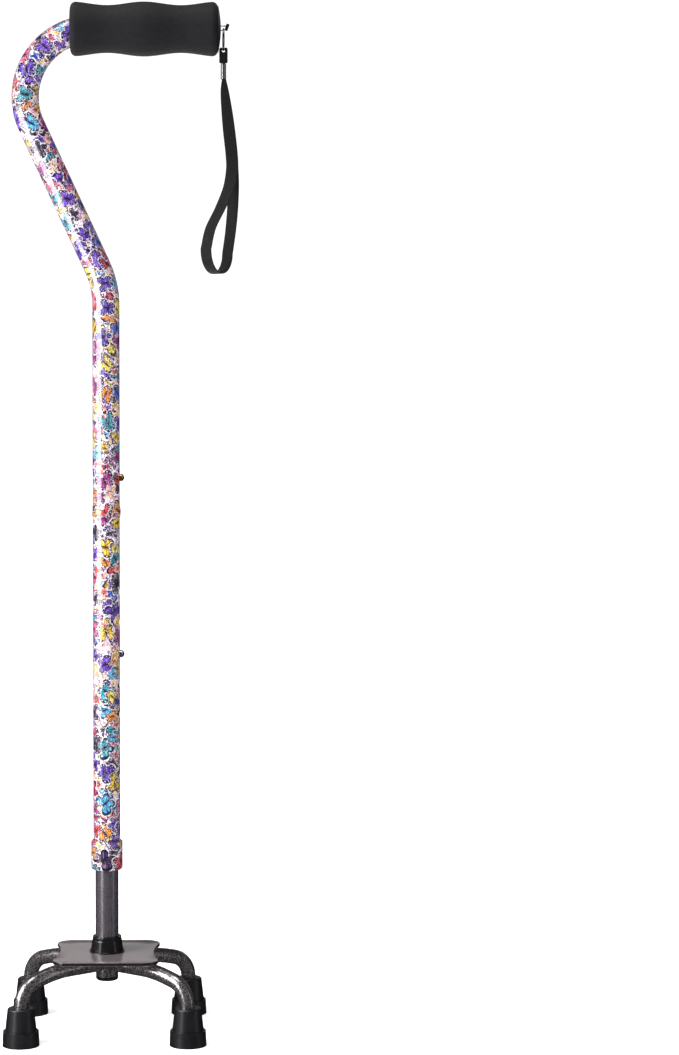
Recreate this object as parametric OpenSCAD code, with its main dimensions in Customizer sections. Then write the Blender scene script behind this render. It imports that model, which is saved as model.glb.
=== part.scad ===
// Folding quad walking cane: an offset-handle cane on a four-footed base.
// Z is up and the floor is z = 0. The grip points forwards, along +X.

/* [Cane] */
// Height of the grip's axis above the floor
grip_z = 821; // [790:1:860]
// Height of the folding joint between the two printed tubes
seam_z = 424; // [415:1:440]
// Outer diameter of the printed tubes
tube_d = 22.2; // [22:0.1:22.6]
// Wall of the printed tubes
tube_wall = 1.4; // [1.2:0.05:1.45]
// Outer diameter of the tubes that slide inside the printed tubes
inner_d = 19.05; // [19:0.01:19.1]
// Wall of the inner tubes
inner_wall = 1.2; // [1:0.1:1.4]

/* [Handle] */
// Reach of the grip in front of the cane's axis
grip_reach = 91.7; // [85:0.1:100]
// Length of the grip
grip_length = 120.2; // [112:0.1:125]
// Grip diameter at its ends and at its middle
grip_bulge_d = 44; // [42:0.5:46]
// Grip diameter at the two finger dips
grip_dip_d = 38.4; // [34:0.2:41]
// How far the handle bends back behind the cane's axis
handle_offset = 65.4; // [60:0.1:70]
// Radius of the upper handle bend
handle_bend_r = 55; // [50:1:60]
// Radius of the bend where the handle meets the straight cane
neck_bend_r = 75; // [60:1:90]
// Slant of the offset stretch from vertical
neck_angle = 25; // [22:0.5:28]

/* [Height adjustment] */
// Height of the lower snap button
lower_button_z = 311; // [305:1:315]
// Pitch of the adjustment holes
hole_pitch = 25.4; // [25:0.1:25.4]
// Spare holes above the one in use
holes_above = 2; // [1:1:2]
// Spare holes below the one in use
holes_below = 4; // [2:1:4]
// Height of the lock collar's lower edge
collar_z = 133; // [130:1:134]
// Height of the lock collar
collar_h = 24; // [22:1:28]
// Diameter of the lock collar
collar_d = 26; // [25.4:0.1:28]

/* [Snap buttons] */
// Height of the upper snap button above the folding joint
upper_button_rise = 32; // [28:1:36]
// Diameter of a snap button
button_d = 6; // [5:0.1:6.4]
// How far a snap button stands out of the tube
button_proud = 3.7; // [3.2:0.1:4]

/* [Base] */
// Distance between the front and rear feet
foot_span_x = 134.4; // [128:0.2:140]
// Distance between the left and right feet
foot_span_y = 106.4; // [102:0.2:112]
// Diameter of the leg tubes
leg_d = 12.4; // [11:0.1:12.6]
// Height of a leg's axis at the hub
leg_z = 55; // [53:0.5:55]
// Height of the base plate's upper face
plate_z = 64.5; // [64.5:0.5:67]
// Thickness of the base plate
plate_t = 3; // [2:0.1:3.2]
// Length of the base plate from front to rear
plate_x = 86; // [82:1:90]
// Width of the base plate from side to side
plate_y = 88; // [84:1:92]
// Diameter of a foot at the floor
foot_d = 29.8; // [28:0.2:32]
// Height of a foot
foot_h = 30.4; // [28:0.2:32]

/* [Wrist strap] */
// Width of the webbing
strap_w = 10; // [8:0.5:11]
// Thickness of the webbing
strap_t = 1; // [0.8:0.1:1.1]
// Radius of the ring that the strap hangs from
ring_r = 8.8; // [7:0.1:9]

/* [Hidden] */
$fn = 64;
slip = 0.05;
press = 0.02;
over = 1;
bend_draw = 0.12;
bend_overlap = 0.3;

// Tubes
tube_r = tube_d / 2;
bore_r = tube_r - tube_wall;
inner_r = inner_d / 2;
inner_bore_r = inner_r - inner_wall;
seam_gap = 0.2;
flare_h = 7;
flare_t = 0.8;

// Handle path from the grip's front end to the folding joint:
// steps of [straight length, bend radius, bend angle]
bend_x = handle_bend_r - handle_offset;
slant_length = (handle_bend_r * cos(neck_angle) - bend_x) / sin(neck_angle);
corner_z = grip_z - handle_bend_r * (1 + sin(neck_angle)) - slant_length * cos(neck_angle);
neck_tangent = neck_bend_r * tan(neck_angle / 2);
handle_steps = [
    [grip_reach - bend_x, handle_bend_r, 90 + neck_angle],
    [slant_length - neck_tangent, neck_bend_r, -neck_angle],
    [corner_z - neck_tangent - seam_z]
];

// Grip outline: two waves between rounded ends
grip_end_r = 4;
grip_mean_r = (grip_bulge_d + grip_dip_d) / 4;
grip_wave = (grip_bulge_d - grip_dip_d) / 4;
grip_profile = concat(
    [[0, 0]],
    arc([grip_bulge_d / 2 - grip_end_r, grip_end_r], grip_end_r, -90, 0, 6),
    [for (t = [0.06 : 0.04 : 0.94]) [grip_mean_r + grip_wave * cos(720 * t), t * grip_length]],
    arc([grip_bulge_d / 2 - grip_end_r, grip_length - grip_end_r], grip_end_r, 0, 90, 6),
    [[0, grip_length]]
);
cap_r = 20;
cap_h = 2.4;
cap_plug = 20;

// Folding joint
connector_bottom = seam_z - 40;
connector_top = seam_z + 70;
bush_h = 3;
bush_sleeve = 12;
bush_bore_r = 7;
anchor_h = 8;
upper_anchor_z = seam_z + 138;
elastic_r = 2.5;
elastic_x = -4;

// Snap buttons and their leaf springs, with x measured from the tube's axis
upper_button_z = seam_z + upper_button_rise;
button_r = button_d / 2;
button_top = tube_r + button_proud;
button_flange_x = 6.2;
button_flange_t = 0.8;
leaf_t = 0.5;
leaf_w = 5;
leaf_foot_x = inner_bore_r - 0.9;
leaf_length = 34;
shaft_top = lower_button_z + 17;

// Lock collar
collar_lip = 3;
tube_bottom = collar_z + 12;

// Legs, as steps of [straight length, bend radius, bend angle] from the hub's axis
foot_angle = atan2(foot_span_y, foot_span_x);
foot_reach = norm([foot_span_x, foot_span_y]) / 2;
leg_droop = 14;
leg_splay = 2;
leg_slow_r = 100;
leg_slope = 8;
leg_fast_r = 20;
leg_end_z = 7;
leg_turn = 90 - leg_splay;
leg_fast_z = leg_z - leg_slow_r * (1 - cos(leg_droop)) - leg_slope * sin(leg_droop);
leg_drop = (leg_fast_z - leg_fast_r * (cos(leg_droop) - cos(leg_turn)) - leg_end_z) / cos(leg_splay);
leg_bend_reach = leg_slow_r * sin(leg_droop) + leg_slope * cos(leg_droop)
    + leg_fast_r * (sin(leg_turn) - sin(leg_droop)) + leg_drop * sin(leg_splay) / 2;
leg_steps = [
    [foot_reach - leg_bend_reach, leg_slow_r, leg_droop],
    [leg_slope, leg_fast_r, leg_turn - leg_droop],
    [leg_drop]
];
leg_r = leg_d / 2;
leg_wall = 1.2;

// Base
plate_corner_r = 12;
plate_side_depth = 4;
plate_side_half = 31;
plate_side_r = (pow(plate_side_half, 2) + pow(plate_side_depth, 2)) / (2 * plate_side_depth);
hub_r = 9.2;
hub_bottom = 44.5;
hub_bore_r = 6.5;
hub_spigot_top = 100;
plug_bottom = 41;
pin_z = 71;
pin_r = 2;
pin_reach = sqrt(pow(inner_r, 2) - pow(pin_r, 2)) - slip;
base_collar_h = 13.5;
base_collar_bottom_r = 14.4;
base_collar_top_r = 12;

// Feet
foot_r = foot_d / 2;
foot_ring_h = 12;
foot_neck_r = 10.85;
foot_cone_r = 12.75;
washer_r = 9;
washer_t = 2;

// Strap fittings
ring_x = grip_reach + 4.5;
ring_wire_r = 0.6;
eye_wire_r = 0.5;
eye_half = 1.7;
ring_top_z = grip_z + 0.4;
ring_z = ring_top_z - ring_r;
eye_z = ring_top_z + eye_half - eye_wire_r - ring_wire_r - slip;
link_hole_r = 1.3;
link_w = 6.9;
link_t = 3.6;
link_hole_z = ring_z - sqrt(pow(ring_r, 2) - pow(link_t / 2, 2)) + ring_wire_r + slip - link_hole_r;
link_top = link_hole_z + link_hole_r + 1.3;
link_bottom = link_top - 12.4;
ferrule_r = 2.25;
ferrule_bore_r = 1.7;
ferrule_top = link_bottom - 0.9;
ferrule_bottom = ferrule_top - 12;

// Webbing, as rows of [drop below the ferrule, forward shift, half the gap between
// the two strands, direction of the gap seen from above, share of the full width]
strap_rows = [
    [0, 0.4, 0.55, 90, 0.34],
    [10, 1, 0.7, 90, 0.68],
    [26, 2.8, 0.75, 90, 0.9],
    [42, 4.6, 0.8, 90, 1],
    [60, 6.6, 0.9, 90, 1],
    [73, 7.2, 1.6, 84, 1],
    [88, 6.2, 5, 68, 1],
    [105, 2.6, 10.5, 62, 1],
    [122, -2.2, 16.4, 60, 1],
    [136, -4.8, 17.8, 60, 1],
    [140, -5.4, 17.8, 60, 1]
];
strap_last = strap_rows[len(strap_rows) - 1];
strap_line = concat(
    [for (row = strap_rows) strand_point(row, -1)],
    [for (a = [210 : 30 : 330]) strap_point(strap_last, cos(a), strap_last[2] * sin(a))],
    [for (i = [len(strap_rows) - 1 : -1 : 0]) strand_point(strap_rows[i], 1)]
);
strap_faces_seen = concat(
    strap_rows,
    [for (i = [1 : 5]) strap_last],
    [for (i = [len(strap_rows) - 1 : -1 : 0]) strap_rows[i]]
);
strap_rings = [for (i = [0 : len(strap_line) - 1]) strap_ring_at(i)];

// The cane's axis stands off the middle so that the whole cane is centred on the origin
front_reach = max([for (ring = strap_rings) max([for (p = ring) p.x])]);
rear_reach = (foot_span_x + foot_d) / 2;
shaft_x = (rear_reach - front_reach) / 2;

function arc(centre, r, from, to, count) =
    [for (i = [0 : count]) centre + r * [cos(from + (to - from) * i / count),
        sin(from + (to - from) * i / count)]];

// Where a bend step ends, seen from where the bend starts
function bend_end(step) =
    [step[1] * sin(abs(step[2])), 0, -sign(step[2]) * step[1] * (1 - cos(step[2]))];

function turned(p, angle) =
    [p.x * cos(angle) + p.z * sin(angle), 0, p.z * cos(angle) - p.x * sin(angle)];

function strap_point(row, share, rise) =
    [ring_x + row[1] + share * row[2] * cos(row[3]), share * row[2] * sin(row[3]),
        ferrule_bottom - row[0] + rise];

function strand_point(row, side) = strap_point(row, side, 0);

function strap_tangent(i) =
    let (ahead = strap_line[min(i + 1, len(strap_line) - 1)],
        behind = strap_line[max(i - 1, 0)])
    (ahead - behind) / norm(ahead - behind);

function strap_ring_at(i) =
    let (row = strap_faces_seen[i],
        across = [sin(row[3]), -cos(row[3]), 0] * strap_w * row[4] / 2,
        out = cross(strap_tangent(i), [sin(row[3]), -cos(row[3]), 0]) * strap_t / 2)
    [strap_line[i] + across + out, strap_line[i] - across + out,
        strap_line[i] - across - out, strap_line[i] + across - out];

// Everything is drawn around the cane's axis and moved into place
module on_axis() {
    translate([shaft_x, 0, 0]) children();
}

// A bend that starts at the origin along +X and turns downwards, or upwards if negative.
// It runs on a little past its end, inside the stretch that it meets.
module elbow(r, bend_r, angle) {
    past = bend_overlap / bend_r * 180 / PI;
    if (angle < 0)
        mirror([0, 0, 1]) elbow(r, bend_r, -angle);
    else
        translate([0, 0, -bend_r])
            rotate([0, -90, -90])
                rotate_extrude(angle = angle + past) translate([bend_r, 0]) circle(r);
}

// A rod with two bends that starts at the origin along +X. Bending draws a tube in,
// so the stretch from bend to bend is a little slimmer than the two ends.
module bent_rod(steps, r) {
    first = steps[0];
    middle = steps[1];
    last = steps[2];
    bent_r = r - bend_draw;
    middle_start = [first[0], 0, 0] + bend_end(first);
    last_start = middle_start + turned([middle[0], 0, 0] + bend_end(middle), first[2]);
    rotate([0, 90, 0]) cylinder(r = r, h = first[0]);
    translate(middle_start) rotate([0, first[2], 0]) {
        mirror([1, 0, 0]) elbow(bent_r, first[1], first[2]);
        rotate([0, 90, 0]) cylinder(r = bent_r, h = middle[0]);
        translate([middle[0], 0, 0]) elbow(bent_r, middle[1], middle[2]);
    }
    translate(last_start) rotate([0, first[2] + middle[2] + 90, 0]) cylinder(r = r, h = last[0]);
}

// The same path, a little longer at both ends, for a bore that cuts right through
module bent_bore(steps, r) {
    longer = [[steps[0][0] + over, steps[0][1], steps[0][2]], steps[1], [steps[2][0] + over]];
    translate([-over, 0, 0]) bent_rod(longer, r);
}

module from_grip_end() {
    translate([grip_reach, 0, grip_z]) mirror([1, 0, 0]) children();
}

module tube(r, bore, from, to) {
    difference() {
        translate([0, 0, from]) cylinder(r = r, h = to - from);
        translate([0, 0, from - over]) cylinder(r = bore, h = to - from + 2 * over);
    }
}

// A hole through a tube's front wall
module front_hole(r, z) {
    translate([0, 0, z]) rotate([0, 90, 0]) cylinder(r = r, h = 2 * tube_r);
}

module grip() {
    color("#201d22") on_axis() difference() {
        from_grip_end() rotate([0, 90, 0]) rotate_extrude() polygon(grip_profile);
        from_grip_end() bent_bore(handle_steps, tube_r + press);
    }
}

module grip_end_cap() {
    dome_r = (pow(cap_r, 2) + pow(cap_h, 2)) / (2 * cap_h);
    color("#151416") on_axis() translate([grip_reach, 0, grip_z]) rotate([0, 90, 0])
        difference() {
            union() {
                intersection() {
                    cylinder(r = cap_r, h = cap_h + over);
                    translate([0, 0, cap_h - dome_r]) sphere(dome_r, $fn = 128);
                }
                translate([0, 0, -cap_plug]) cylinder(r = bore_r - press, h = cap_plug);
            }
            rotate([0, -90, 0]) translate([-grip_reach, 0, -grip_z]) eye_wire(press);
        }
}

// The wire eye: two straight legs that stand out of the cap, closed by a half ring
module eye_wire(grow) {
    r = eye_wire_r + grow;
    legs_from = grip_reach - 6;
    bend_at = grip_reach + 5.2;
    for (side = [-1, 1])
        translate([legs_from, 0, eye_z + side * eye_half])
            rotate([0, 90, 0]) cylinder(r = r, h = bend_at - legs_from);
    translate([bend_at, 0, eye_z])
        rotate([90, 0, 0]) rotate([0, 0, -90])
            rotate_extrude(angle = 180) translate([eye_half, 0]) circle(r);
}

module strap_eye() {
    color("#c9c9cc") on_axis() eye_wire(0);
}

module eye_bead() {
    bead_x = ring_x + 2.9;
    color("#141314") on_axis() difference() {
        translate([bead_x, 0, eye_z + 0.6]) rotate([0, 18, 0])
            cylinder(r = 1.3, h = 5.4, center = true);
        eye_wire(press);
    }
}

module strap_ring() {
    color("#d2d2d4") on_axis() translate([ring_x, 0, ring_z]) rotate([0, 90, 0])
        rotate_extrude() translate([ring_r, 0]) circle(ring_wire_r);
}

module strap_link() {
    corner = 1.6;
    notch_w = 2.2;
    color("#18171a") on_axis() difference() {
        translate([ring_x, 0, 0]) union() {
            translate([0, link_t / 2, 0]) rotate([90, 0, 0]) linear_extrude(link_t) {
                translate([-link_w / 2, link_bottom + corner])
                    square([link_w, link_top - link_bottom - 2 * corner]);
                translate([-link_w / 2 + corner, link_bottom])
                    square([link_w - 2 * corner, link_top - link_bottom]);
                for (x = [-1, 1])
                    for (z = [link_bottom + corner, link_top - corner])
                        translate([x * (link_w / 2 - corner), z]) circle(corner);
            }
            translate([0, 0, link_bottom - 5]) cylinder(r = ferrule_bore_r - press, h = 5 + over);
        }
        translate([ring_x, 0, link_hole_z]) rotate([90, 0, 0])
            cylinder(r = link_hole_r, h = 2 * link_t, center = true);
        translate([ring_x - notch_w / 2, -link_t, link_top - 0.6])
            cube([notch_w, 2 * link_t, over + 1]);
    }
}

module strap_ferrule() {
    color("#c4c4c8") on_axis() translate([ring_x, 0, 0])
        tube(ferrule_r, ferrule_bore_r, ferrule_bottom, ferrule_top);
}

module wrist_strap() {
    last = len(strap_rings) - 1;
    sides = [for (i = [0 : last - 1]) for (k = [0 : 3])
        let (a = 4 * i + k, b = 4 * i + (k + 1) % 4)
        each [[a, b, b + 4], [a, b + 4, a + 4]]];
    ends = [[3, 2, 1, 0], [4 * last, 4 * last + 1, 4 * last + 2, 4 * last + 3]];
    color("#1c1a1d") on_axis()
        polyhedron(points = [for (ring = strap_rings) each ring], faces = concat(sides, ends));
}

module handle_tube() {
    flare_profile = [
        [tube_r - 0.5, 0], [tube_r + flare_t - 0.3, 0], [tube_r + flare_t, 0.3],
        [tube_r + flare_t, flare_h - 0.6], [tube_r, flare_h], [tube_r - 0.5, flare_h]
    ];
    color("#b9a7c9") on_axis() difference() {
        union() {
            from_grip_end() bent_rod(handle_steps, tube_r);
            translate([0, 0, seam_z]) rotate_extrude() polygon(flare_profile);
        }
        from_grip_end() bent_bore(handle_steps, bore_r);
        front_hole(button_r + 0.3, upper_button_z);
    }
}

module cord_anchor_upper() {
    color("#2a2a2c") on_axis() translate([0, 0, upper_anchor_z])
        cylinder(r = bore_r - press, h = anchor_h);
}

module elastic_cord() {
    from = connector_bottom + anchor_h;
    color("#111111") on_axis() translate([elastic_x, 0, from])
        cylinder(r = elastic_r, h = upper_anchor_z - from);
}

module cord_anchor_lower() {
    color("#2a2a2c") on_axis() translate([0, 0, connector_bottom])
        cylinder(r = inner_bore_r - press, h = anchor_h);
}

// The connector's lower end is expanded so that it grips the lower tube's bore
module joint_connector() {
    color("#a9abb0") on_axis() difference() {
        union() {
            translate([0, 0, connector_bottom])
                cylinder(r = inner_r, h = connector_top - connector_bottom);
            translate([0, 0, connector_bottom])
                cylinder(r = bore_r - press, h = seam_z - seam_gap - connector_bottom);
        }
        translate([0, 0, connector_bottom - over])
            cylinder(r = inner_bore_r, h = connector_top - connector_bottom + 2 * over);
        front_hole(button_r + 0.15, upper_button_z);
    }
}

// A plastic ring pushed into the top of an inner tube
module bush(top) {
    on_axis() difference() {
        union() {
            translate([0, 0, top]) cylinder(r = bore_r - slip, h = bush_h);
            translate([0, 0, top - bush_sleeve]) cylinder(r = inner_bore_r - press, h = bush_sleeve);
        }
        translate([0, 0, top - bush_sleeve - over])
            cylinder(r = bush_bore_r, h = bush_sleeve + bush_h + 2 * over);
    }
}

module connector_bush() {
    color("#e9e7e2") bush(connector_top);
}

module shaft_bush() {
    color("#e9e7e2") bush(shaft_top);
}

// A snap button lies along +X: a flange inside the inner tube, a stem and a domed end
module snap_button(z) {
    dome_h = 1.8;
    dome_r = (pow(button_r, 2) + pow(dome_h, 2)) / (2 * dome_h);
    on_axis() translate([0, 0, z]) rotate([0, 90, 0]) {
        translate([0, 0, button_flange_x]) cylinder(r = button_r + 0.9, h = button_flange_t);
        intersection() {
            translate([0, 0, button_flange_x])
                cylinder(r = button_r, h = button_top - button_flange_x);
            translate([0, 0, button_top - dome_r]) union() {
                sphere(dome_r);
                translate([0, 0, -button_top]) cylinder(r = 2 * button_r, h = button_top + dome_r - dome_h);
            }
        }
    }
}

module upper_snap_button() {
    color("#c9a24a") snap_button(upper_button_z);
}

module lower_snap_button() {
    color("#d4d4d6") snap_button(lower_button_z);
}

// A leaf spring behind a snap button, with its foot on the inner tube's front wall
module snap_leaf(z) {
    head_x = button_flange_x - press - leaf_t;
    profile = [
        [head_x, 4], [head_x + leaf_t, 4], [head_x + leaf_t, -5],
        [leaf_foot_x + leaf_t, 10 - leaf_length], [leaf_foot_x + leaf_t, -leaf_length],
        [leaf_foot_x, -leaf_length], [leaf_foot_x, 10 - leaf_length], [head_x, -5]
    ];
    on_axis() translate([0, leaf_w / 2, z]) rotate([90, 0, 0])
        linear_extrude(leaf_w) polygon(profile);
}

module upper_snap_leaf() {
    color("#9a9ca0") snap_leaf(upper_button_z);
}

module lower_snap_leaf() {
    color("#9a9ca0") snap_leaf(lower_button_z);
}

module lower_tube() {
    color("#b9a7c9") on_axis() difference() {
        tube(tube_r, bore_r, tube_bottom, seam_z - seam_gap);
        for (i = [-holes_below : holes_above])
            front_hole(button_r + 0.3, lower_button_z + i * hole_pitch);
    }
}

module lock_collar() {
    collar_r = collar_d / 2;
    round_r = 1.8;
    profile = concat(
        [[inner_r + 0.3, 0]],
        arc([collar_r - round_r, round_r], round_r, -90, 0, 6),
        [[collar_r, collar_h - 0.8], [collar_r - 0.8, collar_h], [tube_r + slip, collar_h],
            [tube_r + slip, collar_lip], [inner_r + 0.3, collar_lip]]
    );
    color("#a99bbd") on_axis() translate([0, 0, collar_z]) rotate_extrude() polygon(profile);
}

// A split plastic ring that the lock collar squeezes against the shaft
module collar_collet() {
    slit = 2;
    from = collar_z + collar_lip + 0.1;
    color("#e4e1da") on_axis() difference() {
        tube(tube_r - 0.1, inner_r + slip, from, tube_bottom - 0.1);
        translate([-2 * tube_r, -slit / 2, from - over])
            cube([2 * tube_r, slit, tube_bottom - from + 2 * over]);
    }
}

module lower_shaft() {
    color("#47454a") on_axis() difference() {
        tube(inner_r, inner_bore_r, plate_z, shaft_top);
        front_hole(button_r + 0.15, lower_button_z);
        cross_pin(pin_r + press, 2 * tube_r);
    }
}

module cross_pin(r, length) {
    translate([0, 0, pin_z]) rotate([90, 0, 0]) cylinder(r = r, h = length, center = true);
}

module shaft_pin() {
    color("#8d8f94") on_axis() cross_pin(pin_r, 2 * pin_reach);
}

module base_collar() {
    lip = 1.5;
    profile = concat(
        [[inner_r + slip, 0], [base_collar_bottom_r, 0], [base_collar_bottom_r, 1.2]],
        arc([base_collar_top_r - lip, base_collar_h - lip], lip, 0, 90, 6),
        [[inner_r + slip, base_collar_h - 0.8]]
    );
    color("#19181b") on_axis() translate([0, 0, plate_z]) rotate_extrude() polygon(profile);
}

module plate_outline() {
    inner = [plate_x - 2 * plate_corner_r, plate_y - 2 * plate_corner_r];
    difference() {
        union() {
            square([plate_x, inner.y], center = true);
            square([inner.x, plate_y], center = true);
            for (x = [-1, 1])
                for (y = [-1, 1])
                    translate([x * inner.x / 2, y * inner.y / 2]) circle(plate_corner_r);
        }
        for (side = [-1, 1])
            translate([side * (plate_x / 2 - plate_side_depth + plate_side_r), 0])
                circle(plate_side_r);
        circle(inner_bore_r);
    }
}

module base_plate() {
    color("#857a7d") on_axis() translate([0, 0, plate_z - plate_t])
        linear_extrude(plate_t) plate_outline();
}

// The hub's spigot passes through the plate and carries the shaft
module base_hub() {
    color("#39373b") on_axis() difference() {
        union() {
            translate([0, 0, hub_bottom]) cylinder(r = hub_r, h = plate_z - plate_t - hub_bottom);
            translate([0, 0, hub_bottom])
                cylinder(r = inner_bore_r - slip, h = hub_spigot_top - hub_bottom);
        }
        translate([0, 0, hub_bottom - over]) cylinder(r = hub_bore_r, h = 12 + over);
        cross_pin(pin_r + press, 2 * tube_r);
    }
}

module hub_plug() {
    rim_h = hub_bottom - plug_bottom;
    rim = 2;
    profile = concat(
        [[0, 0]],
        arc([hub_r - rim, rim], rim, -90, 0, 6),
        [[hub_r, rim_h], [hub_bore_r - press, rim_h], [hub_bore_r - press, rim_h + 10],
            [0, rim_h + 10]]
    );
    color("#1b1a1c") on_axis() translate([0, 0, plug_bottom]) rotate_extrude() polygon(profile);
}

module leg_rod(r) {
    translate([0, 0, leg_z]) bent_rod(leg_steps, r);
}

// Each leg is mitred against its neighbours and welded to the hub
module leg(x, y) {
    angle = atan2(y * foot_span_y, x * foot_span_x);
    color("#5b585d") on_axis() intersection() {
        rotate([0, 0, angle]) difference() {
            leg_rod(leg_r);
            translate([0, 0, leg_z]) bent_bore(leg_steps, leg_r - leg_wall);
            cylinder(r = hub_r + press, h = 2 * leg_z);
        }
        translate([x * foot_span_x / 2, y * foot_span_y / 2, leg_z])
            cube([foot_span_x - slip, foot_span_y - slip, 4 * leg_z], center = true);
    }
}

module foot_profile() {
    lip = 1.4;
    groove = 0.8;
    difference() {
        polygon(concat(
            [[0, 0], [foot_r, 0], [foot_r - 0.5, foot_ring_h], [foot_cone_r, foot_ring_h]],
            arc([foot_neck_r - lip, foot_h - lip], lip, 0, 90, 5),
            [[0, foot_h]]
        ));
        for (r = [5, 9])
            translate([r, -over]) square([1.4, over + groove]);
    }
}

// A rubber foot, hollow where the leg and its washer stand in it
module foot(x, y) {
    angle = atan2(y * foot_span_y, x * foot_span_x);
    color("#1f1e21") on_axis() difference() {
        foot_place(x, y) rotate_extrude() foot_profile();
        rotate([0, 0, angle]) leg_rod(leg_r + press);
        foot_place(x, y) translate([0, 0, leg_end_z - washer_t - press])
            cylinder(r = washer_r + press, h = washer_t + 0.1);
    }
}

module foot_place(x, y) {
    translate([x * foot_span_x / 2, y * foot_span_y / 2, 0]) children();
}

module foot_washers() {
    color("#9b9da1") on_axis()
        for (x = [-1, 1])
            for (y = [-1, 1])
                foot_place(x, y) translate([0, 0, leg_end_z - washer_t])
                    cylinder(r = washer_r, h = washer_t - 0.3);
}

grip();
grip_end_cap();
strap_eye();
eye_bead();
strap_ring();
strap_link();
strap_ferrule();
wrist_strap();
handle_tube();
cord_anchor_upper();
elastic_cord();
cord_anchor_lower();
joint_connector();
connector_bush();
upper_snap_button();
upper_snap_leaf();
lower_tube();
lower_snap_button();
lower_snap_leaf();
lock_collar();
collar_collet();
lower_shaft();
shaft_bush();
shaft_pin();
base_collar();
base_plate();
base_hub();
hub_plug();
leg(1, -1);  // leg_front_right
leg(1, 1);  // leg_front_left
leg(-1, 1);  // leg_rear_left
leg(-1, -1);  // leg_rear_right
foot(1, -1);  // foot_front_right
foot(1, 1);  // foot_front_left
foot(-1, 1);  // foot_rear_left
foot(-1, -1);  // foot_rear_right
foot_washers();
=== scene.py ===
import math
import random

import bpy
from mathutils import Matrix, Vector


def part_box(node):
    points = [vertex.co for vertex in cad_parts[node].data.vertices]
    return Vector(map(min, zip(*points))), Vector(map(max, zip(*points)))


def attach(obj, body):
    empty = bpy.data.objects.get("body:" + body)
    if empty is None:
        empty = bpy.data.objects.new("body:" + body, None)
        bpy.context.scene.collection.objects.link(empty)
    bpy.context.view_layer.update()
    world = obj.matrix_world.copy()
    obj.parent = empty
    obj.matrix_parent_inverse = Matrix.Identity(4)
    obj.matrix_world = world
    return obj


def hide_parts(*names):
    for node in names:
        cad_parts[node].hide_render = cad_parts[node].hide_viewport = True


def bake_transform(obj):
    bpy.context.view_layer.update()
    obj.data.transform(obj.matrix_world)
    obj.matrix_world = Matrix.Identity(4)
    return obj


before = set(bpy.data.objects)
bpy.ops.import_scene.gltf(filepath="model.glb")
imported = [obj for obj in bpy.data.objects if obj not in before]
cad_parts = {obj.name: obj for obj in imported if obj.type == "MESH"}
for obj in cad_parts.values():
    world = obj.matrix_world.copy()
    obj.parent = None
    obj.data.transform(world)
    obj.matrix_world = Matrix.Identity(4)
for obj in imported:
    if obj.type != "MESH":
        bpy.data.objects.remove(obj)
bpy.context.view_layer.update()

# Driving dimensions, read from the frame, in metres
MM = 0.001
shaft_low, shaft_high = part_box("lower_shaft")
SHAFT_X = (shaft_low.x + shaft_high.x) / 2
SHAFT_R = (shaft_high.x - shaft_low.x) / 2
tube_low, tube_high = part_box("lower_tube")
TUBE_R = (tube_high.y - tube_low.y) / 2
grip_low, grip_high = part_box("grip")
GRIP_Z = (grip_low.z + grip_high.z) / 2
GRIP_R = (grip_high.z - grip_low.z) / 2
GRIP_FRONT = grip_high.x
GRIP_REAR = grip_low.x
plate_low, plate_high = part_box("base_plate")
hub_low, hub_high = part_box("base_hub")
foot_low, foot_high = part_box("foot_front_right")
FOOT_REACH_X = (foot_low.x + foot_high.x) / 2 - SHAFT_X
FOOT_REACH_Y = -(foot_low.y + foot_high.y) / 2
ROUND = 64


def v2(x, y):
    return Vector((x, y))


# ---------------------------------------------------------------- camera

def add_camera():
    """Stands in front of the cane, a little above its middle. It is turned to the right and its
    lens is shifted, which puts the cane at the left of the picture."""
    distance = 1.935
    height = 0.49
    azimuth = math.radians(2.4)
    yaw = math.radians(2.9)
    pitch = math.radians(2.226)
    data = bpy.data.cameras.new("camera")
    data.sensor_width = 36
    data.lens = 80.4
    data.shift_x = 0.108
    camera = bpy.data.objects.new("camera", data)
    bpy.context.scene.collection.objects.link(camera)
    camera.location = (
        SHAFT_X + distance * math.sin(azimuth),
        -distance * math.cos(azimuth),
        height,
    )
    heading = azimuth - yaw
    forward = Vector((
        -math.sin(heading) * math.cos(pitch),
        math.cos(heading) * math.cos(pitch),
        -math.sin(pitch),
    ))
    camera.rotation_mode = "QUATERNION"
    camera.rotation_quaternion = forward.to_track_quat("-Z", "Y")
    bpy.context.scene.camera = camera


add_camera()


# ---------------------------------------------------------------- node helpers

def srgb(hex_colour):
    """A linear colour from a six-digit sRGB one."""
    out = []
    for i in (0, 2, 4):
        c = int(hex_colour[i : i + 2], 16) / 255
        out.append(c / 12.92 if c <= 0.04045 else ((c + 0.055) / 1.055) ** 2.4)
    return (*out, 1.0)


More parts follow.
